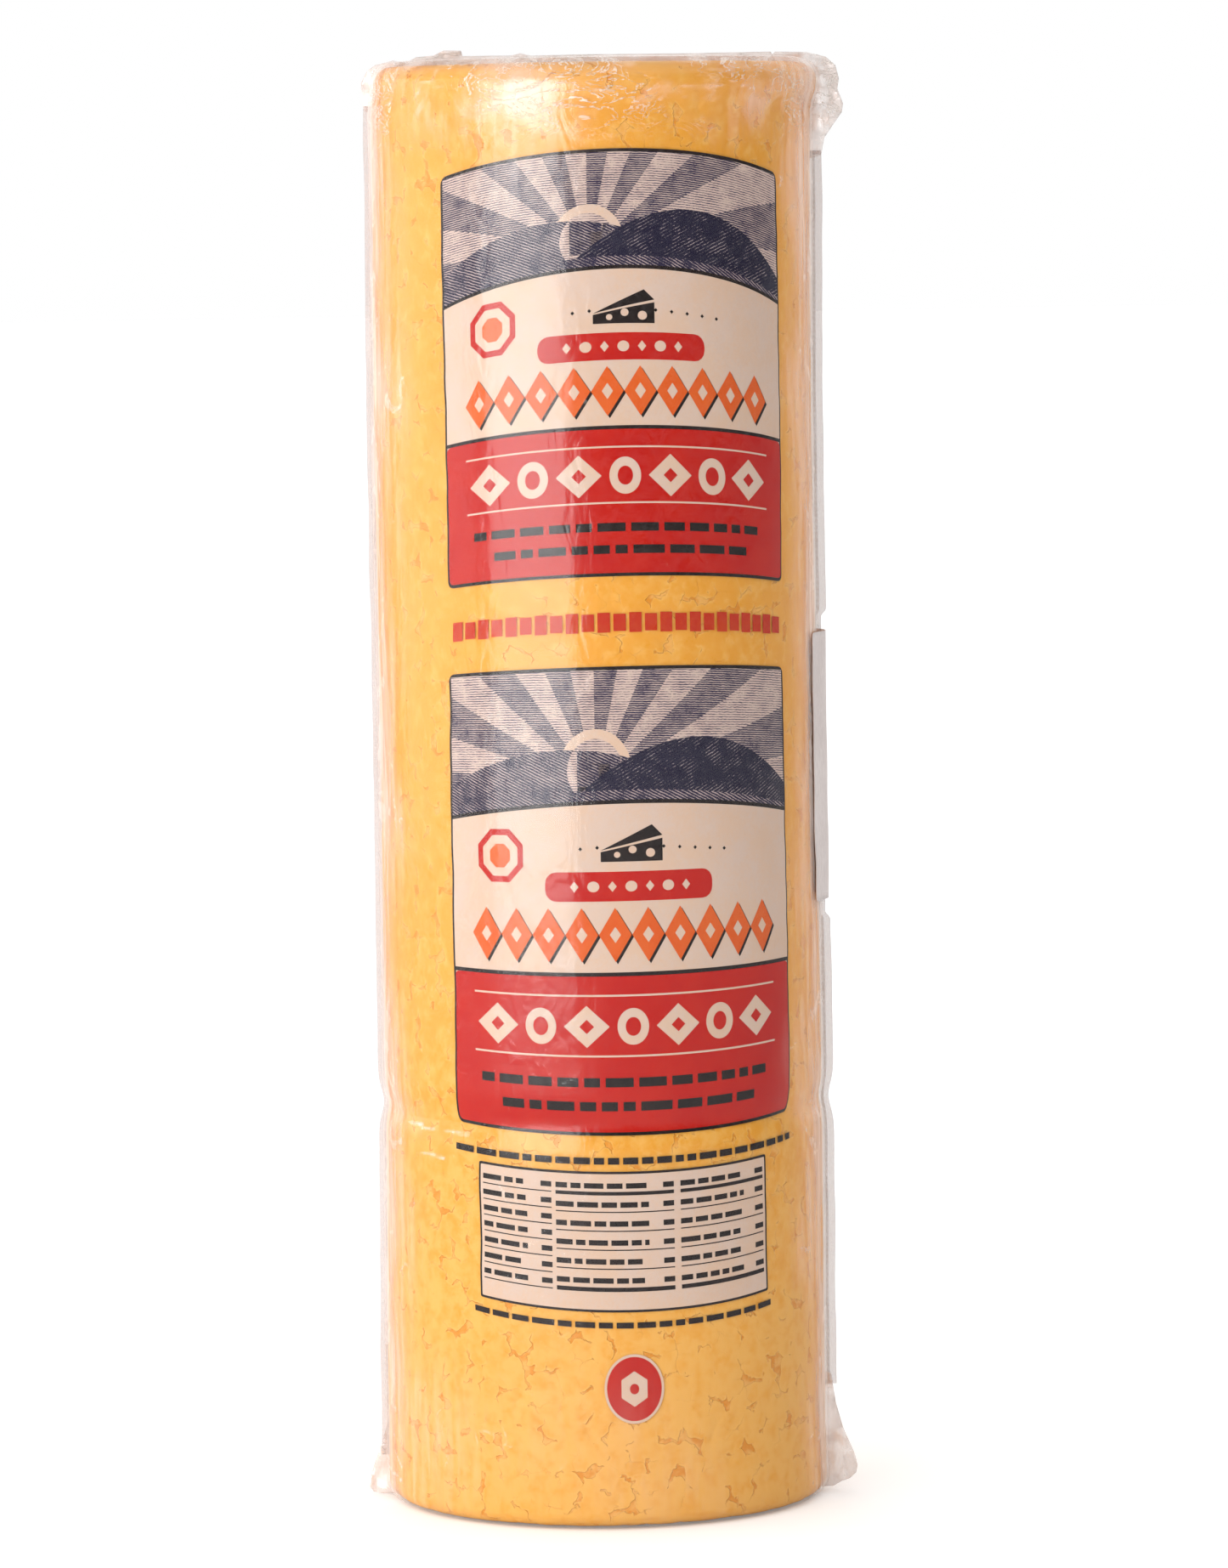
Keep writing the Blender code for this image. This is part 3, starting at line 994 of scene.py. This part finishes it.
corners = {
    "left_foot": [(-49.5, 20), (-52.6, 18), (-54.0, 13.5), (-55.8, 8.5), (-57.2, 4.0), (-57.3, 2.2),
                  (-56.3, 0.8), (-54.5, 0.5), (-48, 0.5)],
    "right_foot": [(49.5, 30), (53.4, 28), (54.4, 21), (56.0, 15), (58.6, 9.0), (59.5, 5.6), (59.1, 3.8),
                   (57.6, 2.4), (55.6, 1.8), (53.6, 0.7), (48, 0.5)],
    "left_shoulder": [(-48.5, 327), (-53.0, 330), (-53.7, 333), (-53.6, 336.5), (-52.2, 339.2),
                      (-50.2, 340.6), (-46, 341.6), (-43, 341.0)],
    "right_shoulder": [(48, 316), (54.6, 318), (55.4, 322), (57.4, 325), (59.6, 328), (59.9, 330),
                       (58.6, 333.5), (59.0, 336), (58.2, 339), (56.0, 341), (51.5, 342.2), (44, 342.4),
                       (42, 340.5)],
    "top_ridge": [(-47, 337), (-45.5, 341), (-42, 341.5), (-40.5, 342.3), (-36.5, 342.6), (-34, 343.8),
                  (-30, 343.7), (-29.6, 342.4), (-18, 342.4), (-16, 342.9), (-13.5, 342.3), (0, 342.4),
                  (20, 342.3), (43, 342.4), (46, 337)],
}


def cutBothWays(bm, cell):
    # splits the flat faces along a square lattice, so that they can bend
    for axis in (0, 1):
        places = [vert.co[axis] for vert in bm.verts]
        line = ceil(min(places) / cell) * cell
        while line < max(places):
            at = (line, 0, 0) if axis == 0 else (0, line, 0)
            normal = (1, 0, 0) if axis == 0 else (0, 1, 0)
            geometry = bm.verts[:] + bm.edges[:] + bm.faces[:]
            bmesh.ops.bisect_plane(bm, geom=geometry, dist=0.0001, plane_co=at, plane_no=normal)
            line += cell
    bmesh.ops.triangulate(bm, faces=[face for face in bm.faces if len(face.verts) > 4])


def buildCorner(name, outline, look):
    bm = bmesh.new()
    bm.faces.new([bm.verts.new((x, z, 0)) for x, z in outline])
    cutBothWays(bm, looseFilm["cell"])
    slacks = []
    for vert in bm.verts:
        x, z = vert.co.x, vert.co.y
        spot = Vector((x, z, len(name))) / looseFilm["foldSize"]
        fold = 1 - 2 * abs(noise(spot)) - abs(noise(spot * 2.3)) * 0.9
        free = max(easeBetween(50.5, 56.0, abs(x)), easeBetween(341, 343, z))
        vert.co = (x * mm, looseFilm["foldHeight"] * fold * (0.2 + 0.8 * free), z * mm)
        slacks.append(0.45 + 0.55 * abs(fold))
    bmesh.ops.recalc_face_normals(bm, faces=bm.faces[:])
    piece = finishPiece(bm, name, [look])
    storeValues(piece, "slack", slacks)
    thicken(piece, looseFilm["thickness"])
    wrapped(piece)


looseValues = (filmLook["looseClear"], filmLook["looseMilky"], filmLook["looseEdge"])
cornerLook = filmMaterial("looseFilm", *looseValues, filmLook["looseTint"])
footLook = filmMaterial("footFilm", *looseValues, filmLook["footTint"])
for name, outline in corners.items():
    buildCorner(name, outline, footLook if name.endswith("foot") else cornerLook)
print("seams and corners made")


# The print. It is laid out flat: x runs round the pack in millimetres from the middle of the front,
# y is the height of the print's own side edges, and z is the order of the inks

printed = {
    "middle": 7.15,
    "halfWidth": 45.0,
    "under": 0.47 * mm,  # below the film
    "inkStep": 0.016 * mm,
    "bowLevel": 147.0,
    "bowRate": 0.0445,
    "bowMost": 6.3,
    "edgeWave": 0.35,
    "cell": 2.5,
    "seed": 21,
}


def printBow(height):
    # the film shrinks most at its ends, so the print's rows bend up above its middle and down below
    bow = printed["bowRate"] * (height - printed["bowLevel"])
    return max(-printed["bowMost"], min(printed["bowMost"], bow))


def inkFace(bm, points, ink, layer):
    face = bm.faces.new([bm.verts.new((x, y, layer)) for x, y in points])
    face.material_index = inkOrder.index(ink)
    return face


def inkBox(bm, left, bottom, right, top, ink, layer):
    return inkFace(bm, [(left, bottom), (right, bottom), (right, top), (left, top)], ink, layer)


def inkDisc(bm, x, y, width, height, ink, layer, sides=28, turn=0.0):
    made = bmesh.ops.create_circle(bm, cap_ends=True, segments=sides, radius=0.5,
                                   matrix=Matrix.Rotation(turn, 4, "Z"))
    for vert in made["verts"]:
        vert.co = (x + vert.co.x * width, y + vert.co.y * height, layer)
    for face in {face for vert in made["verts"] for face in vert.link_faces}:
        face.material_index = inkOrder.index(ink)


def inkBars(bm, draw, left, right, bottom, top, ink, layer, longest, gap):
    # a row of plain bars of uneven length
    x = left
    while x < right - 1.0:
        end = min(right, x + draw.uniform(0.35, 1.0) * longest)
        inkBox(bm, x, bottom, end, top, ink, layer)
        x = end + gap


def roundedBox(left, bottom, right, top, corner, steps=4):
    points = []
    for x, y, start in ((right - corner, bottom + corner, -90), (right - corner, top - corner, 0),
                        (left + corner, top - corner, 90), (left + corner, bottom + corner, 180)):
        for step in range(steps + 1):
            bend = radians(start + 90 * step / steps)
            points.append((x + corner * cos(bend), y + corner * sin(bend)))
    return points


def arcTop(left, right, bottom, level, rise, steps=24):
    # a box whose upper side is an arc that rises in its middle
    points = [(left, bottom), (right, bottom)]
    for step in range(steps + 1):
        share = 1 - step / steps
        points.append((left + (right - left) * share, level + rise * (1 - (2 * share - 1) ** 2)))
    return points


def sunRays(bm, left, right, bottom, top, centre, count):
    # the sky, cut by lines through the sun and inked by turns
    face = inkBox(bm, left, bottom, right, top, "sky", 2)
    wedges = [face]
    for ray in range(count):
        bend = pi * (ray + 0.5) / count
        geometry = [item for wedge in wedges for item in (wedge, *wedge.edges, *wedge.verts)]
        geometry = list(dict.fromkeys(geometry))
        cut = bmesh.ops.bisect_plane(bm, geom=geometry, dist=0.001, plane_co=(*centre, 0),
                                     plane_no=(-sin(bend), cos(bend), 0))
        wedges = [item for item in cut["geom"] if isinstance(item, bmesh.types.BMFace)]
    for wedge in wedges:
        middle = wedge.calc_center_median()
        turn = atan2(middle.y - centre[1], middle.x - centre[0]) / pi * count + 0.5
        wedge.material_index = inkOrder.index("ray" if floor(turn) % 2 else "sky")


def sideways(share):
    return printed["middle"] + printed["halfWidth"] * share


def printPanel(bm, bottom, top):
    # one large panel: sunrise over fields, a pale band with ornaments, a red band with ornaments
    draw = random.Random(printed["seed"])
    left, right = sideways(-1), sideways(1)
    middle = printed["middle"]
    rise = (top - bottom) / 95.0

    def up(level):
        return bottom + level * rise

    inkFace(bm, roundedBox(left, bottom, right, top, 1.6), "black", 0)
    inkFace(bm, roundedBox(left + 0.65, bottom + 0.75, right - 0.65, top - 0.75, 1.1), "cream", 1)
    inLeft, inRight = left + 0.65, right - 0.65
    # sunrise over ploughed fields
    skyLow, skyHigh = up(66.0), top - 0.75
    sunRays(bm, inLeft, inRight, skyLow, skyHigh, (middle - 8.0, up(71.0)), 15)
    inkDisc(bm, middle - 8.0, up(74.0), 17, 17 * rise, "cream", 3, 40)
    inkDisc(bm, middle - 8.0, up(74.0), 13, 13 * rise, "sky", 4, 40)
    inkFace(bm, arcTop(inLeft, inRight - 30, up(64), up(71.5), 7.5), "field", 4)
    inkFace(bm, arcTop(inLeft + 34, inRight, up(64), up(70.5), 11.0), "fieldDark", 5)
    inkFace(bm, arcTop(inLeft, inRight, up(62), up(66.0), 4.5), "field", 6)
    # the pale band
    inkFace(bm, arcTop(inLeft, inRight, up(61), up(65.2), 3.2), "black", 7)
    inkFace(bm, arcTop(inLeft, inRight, up(33), up(64.4), 3.2), "cream", 8)
    wedgeLeft, wedgeRight = middle - 7, middle + 7.5
    for wedge in (
        [(wedgeLeft, up(57.9)), (wedgeRight, up(60.8)), (middle + 5.0, up(63.0))],
        [(wedgeLeft, up(55.6)), (wedgeRight, up(55.6)), (wedgeRight, up(60.2)), (wedgeLeft, up(57.6))],
    ):
        inkFace(bm, wedge, "black", 9)
    for x, level, size in ((-3.2, 57.0, 1.5), (0.4, 58.0, 1.9), (4.6, 57.3, 2.2)):
        inkDisc(bm, middle + x, up(level), size, size * 0.9, "cream", 10, 14)
    for step in range(-6, 7):  # small studs either side of the wedge
        if step > 1 or -4 < step < -1:
            inkDisc(bm, middle + step * 3.9, up(59.0 - abs(step) * 0.25), 0.9, 0.9, "black", 9, 4)
    inkFace(bm, roundedBox(middle - 20, up(47.6), middle + 20, up(53.6), 2.6), "red", 9)
    for step in range(-3, 4):
        width, sides = (2.0, 4) if step % 2 else (2.8, 16)
        inkDisc(bm, middle + step * 4.4, up(50.6), width, 2.4, "cream", 10, sides)
    count = 10
    for step in range(count):  # a row of lozenges with a dark shadow
        x = sideways(-0.86 + 1.72 * (step + 0.5) / count)
        for shift, ink, layer in ((0.5, "black", 9), (0.0, "orange", 10)):
            inkDisc(bm, x + shift, up(40.8) - shift, 7.6, 11.0 * rise, ink, layer, 4)
        inkDisc(bm, x, up(40.8), 2.6, 3.6, "cream", 11, 4)
    # the red band
    inkBox(bm, inLeft, up(32.4), inRight, up(33.2), "black", 9)
    inkFace(bm, roundedBox(inLeft, bottom + 0.75, inRight, up(32.4), 1.1), "red", 9)
    for level in (28.3, 16.0):
        inkBox(bm, sideways(-0.86), up(level), sideways(0.86), up(level + 0.4), "cream", 10)
    for step in range(7):
        x = sideways(-0.72 + 1.44 * step / 6)
        if step % 2:
            inkDisc(bm, x, up(22.2), 7.4, 8.2, "cream", 10, 30)
            inkDisc(bm, x, up(22.2), 3.6, 4.2, "red", 11, 20)
        else:
            inkDisc(bm, x, up(22.2), 10.6, 9.4, "cream", 10, 4)
            inkDisc(bm, x, up(22.2), 3.4, 3.2, "red", 11, 4)
    for share, level in ((0.82, 9.9), (0.70, 5.0)):
        ends = (sideways(-share), sideways(share))
        inkBars(bm, draw, *ends, up(level), up(level + 1.9), "black", 10, 7.5, 1.3)
    # a plain eight-sided badge
    badge = ((12.5, 13.0, "red"), (9.6, 10.0, "cream"), (5.6, 5.8, "orange"))
    for step, (width, height, ink) in enumerate(badge):
        inkDisc(bm, middle - 31, up(57.0), width, height, ink, 11 + step, 8, pi / 8)


def printTable(bm):
    # a ruled box with plain bars in its cells
    draw = random.Random(printed["seed"] + 1)
    left, right, bottom, top = -31.2, 42.0, 55.2, 86.7
    inkFace(bm, roundedBox(left, bottom, right, top, 0.5), "black", 0)
    inkFace(bm, roundedBox(left + 0.5, bottom + 0.55, right - 0.5, top - 0.55, 0.3), "cream", 1)
    columns = ((left + 1.2, left + 18.6, 7), (left + 19.6, left + 47.4, 6), (left + 49.0, right - 1.2, 6))
    for start, end, rows in columns:
        for row in range(rows):
            level = top - 3.2 - row * (25.5 / rows)
            inkBars(bm, draw, start, end - 6, level - 0.6, level + 0.6, "black", 2, 5.0, 0.8)
            inkBox(bm, end - 2.6, level - 0.6, end, level + 0.6, "black", 2)
            inkBox(bm, start, level - 1.75, end, level - 1.5, "black", 3)
    for start, end, rows in columns[1:]:
        inkBox(bm, start, top - 5.3, end, top - 4.5, "black", 4)
        inkBox(bm, start, bottom + 4.6, end, bottom + 5.4, "black", 4)


def printSmallThings(bm):
    draw = random.Random(printed["seed"] + 2)
    count = 24
    for step in range(count):  # a line of plain red blocks between the panels
        x = sideways(-0.98 + 1.96 * (step + 0.5) / count)
        inkDisc(bm, x, 208.7, 4.1, 5.4 if step % 2 else 6.2, "webRed", 0, 4, pi / 4)
    inkBars(bm, draw, -38.0, 51.6, 88.3, 89.8, "black", 0, 5.5, 0.9)
    inkBars(bm, draw, -33.0, 43.0, 51.6, 52.9, "black", 0, 5.5, 0.9)
    seal = ((14.0, 15.6, "cream", 48), (12.8, 14.4, "red", 48), (7.0, 8.0, "cream", 6), (2.2, 2.4, "red", 12))
    for layer, (width, height, ink, sides) in enumerate(seal):
        inkDisc(bm, 6.2, 38.0, width, height, ink, layer, sides)


def wrapPrint(bm, name):
    cutBothWays(bm, printed["cell"])
    layout = bm.loops.layers.uv.new("layout")
    for face in bm.faces:
        for loop in face.loops:
            loop[layout].uv = (loop.vert.co.x, loop.vert.co.y)
    for vert in bm.verts:
        x, y, layer = vert.co
        share = (x - printed["middle"]) / printed["halfWidth"]
        height = (y + printBow(y) * (1 - share * share)) * mm
        x += printed["edgeWave"] * noise(Vector((share * 0.7, y / 7.5, 2.0))) * abs(share) ** 3
        angle = x * mm / pack["filmRadius"]
        radius = pack["filmRadius"] + bodySwell(angle, height) - printed["under"]
        radius += layer * printed["inkStep"]
        vert.co = roundPoint(angle, radius, height)
    faceOutwards(bm)
    wrapped(finishPiece(bm, name, [inks[ink] for ink in inkOrder]))


# what is drawn on each piece of the print, and the bottom and top of a panel
sheets = {
    "upper_print": (printPanel, 218.9, 313.9),
    "lower_print": (printPanel, 94.7, 199.0),
    "table_print": (printTable,),
    "small_print": (printSmallThings,),
}
for name, (drawSheet, *heights) in sheets.items():
    bm = bmesh.new()
    drawSheet(bm, *heights)
    wrapPrint(bm, name)
print("print made")


# The paper sticker round the right-hand rear

sticker = {
    "start": radians(77.6),
    "length": 102 * mm,
    "low": 142.2 * mm,
    "high": 205.8 * mm,
    "gap": 0.45 * mm,
    "corner": 3 * mm,
    "ridge": 1.9 * mm,
    "ridgeReach": radians(7),
    "thickness": 0.15 * mm,
    "edgeWave": 0.5 * mm,
    "freeLength": 14 * mm,  # the front end, which follows the film less closely
    "ripple": 0.18 * mm,
}


def buildSticker():
    bm = bmesh.new()
    bmesh.ops.create_grid(bm, x_segments=90, y_segments=36, size=0.5)
    outer = [vert for vert in bm.verts if len(vert.link_edges) == 2]
    for vert in bm.verts:
        vert.co.x = (vert.co.x + 0.5) * sticker["length"]
        vert.co.y = sticker["low"] + (vert.co.y + 0.5) * (sticker["high"] - sticker["low"])
    bmesh.ops.bevel(bm, geom=outer, offset=sticker["corner"], offset_type="OFFSET", segments=5, profile=0.5,
                    affect="VERTICES", material=-1)
    for vert in bm.verts:
        along, height = vert.co.x, vert.co.y
        free = easeBetween(sticker["freeLength"], 0, along)
        along += sticker["edgeWave"] * noise(Vector((2, 0, height * 130))) * free
        angle = sticker["start"] + along / pack["filmRadius"]
        radius = pack["filmRadius"] + unevenness(angle, height) + sticker["gap"] * (1 - 0.55 * free)
        radius += sticker["ridge"] * bell(angleBetween(angle, quarterTurn), sticker["ridgeReach"])
        radius += sticker["ripple"] * noise(Vector((along * 60, 4, height * 90)))
        vert.co = roundPoint(angle, radius, height)
    faceOutwards(bm)
    piece = finishPiece(bm, "paper_sticker", [paperMaterial()])
    thicken(piece, sticker["thickness"], 1)
    wrapped(piece, "side_label")


buildSticker()
print("sticker made")


# Floor, lights and camera

studio = {
    "floorSize": 14.0,
    "backdrop": 1.0,
    "overhead": 1.02,
    "front": 0.16,
    "behind": 1.2,
}

# azimuth in degrees from the front towards +X, distance, lowest and highest point, width, strength
softBoxes = {
    "key": (-34.5, 1.15, 0.01, 0.42, 0.95, 6.1),
    "brow": (-33.5, 1.12, 0.28, 0.42, 1.34, 0.4),
    "left": (-95, 1.3, 0.02, 0.60, 1.5, 1.9),
    "fill": (135, 1.3, 0.02, 0.5, 0.6, 0.4),
}


def buildFloor():
    bm = bmesh.new()
    bmesh.ops.create_circle(bm, cap_ends=True, segments=64, radius=studio["floorSize"])
    finishPiece(bm, "floor", [floorMaterial()], smooth=False)


def softLight(name, azimuth, distance, low, high, width, strength):
    # an upright soft box
    turn = radians(azimuth)
    light = bpy.data.lights.new(name, "AREA")
    light.shape = "RECTANGLE"
    light.size = width
    light.size_y = high - low
    light.energy = strength * pi * width * (high - low)
    holder = bpy.data.objects.new(name, light)
    holder.location = (distance * sin(turn), -distance * cos(turn), (low + high) / 2)
    holder.rotation_euler = (quarterTurn, 0, turn)
    bpy.context.scene.collection.objects.link(holder)


def buildSurround():
    # a pale room: bright overhead and behind, dim in front
    world = bpy.data.worlds.new("studio")
    world.use_nodes = True
    tree = world.node_tree
    ground = tree.nodes["Background"]
    way = splitPlace(addNode(tree, "TexCoord").outputs["Generated"])
    level = spread(way["Y"], 0.15, 0.75, studio["front"], studio["behind"])
    glow = spread(way["Z"], 0.22, 0.55, level, studio["overhead"])
    seen = addNode(tree, "LightPath").outputs["Is Camera Ray"]
    feed(spread(seen, 0.0, 1.0, glow, studio["backdrop"]), ground.inputs["Strength"])
    ground.inputs["Color"].default_value = (1, 1, 1, 1)
    bpy.context.scene.world = world


view = {
    "distance": 1.80,
    "height": 0.3175,
    "down": radians(4.6876),
    "side": radians(0.1137),
    "roll": radians(-0.8385),
    "focalPixels": 8953,
    "imageHeight": 1845,
    "sensor": 24.0,
}


def buildCamera():
    data = bpy.data.cameras.new("camera")
    data.sensor_fit = "VERTICAL"
    data.sensor_height = view["sensor"]
    data.lens = view["sensor"] * view["focalPixels"] / view["imageHeight"]
    camera = bpy.data.objects.new("camera", data)
    aim = Euler((quarterTurn - view["down"], 0, -view["side"])).to_matrix()
    turn = aim @ Matrix.Rotation(view["roll"], 3, "Z")
    camera.matrix_world = Matrix.Translation((0, -view["distance"], view["height"])) @ turn.to_4x4()
    bpy.context.scene.collection.objects.link(camera)
    bpy.context.scene.camera = camera


buildFloor()
buildSurround()
for name, values in softBoxes.items():
    softLight(name, *values)
buildCamera()
print("studio made")
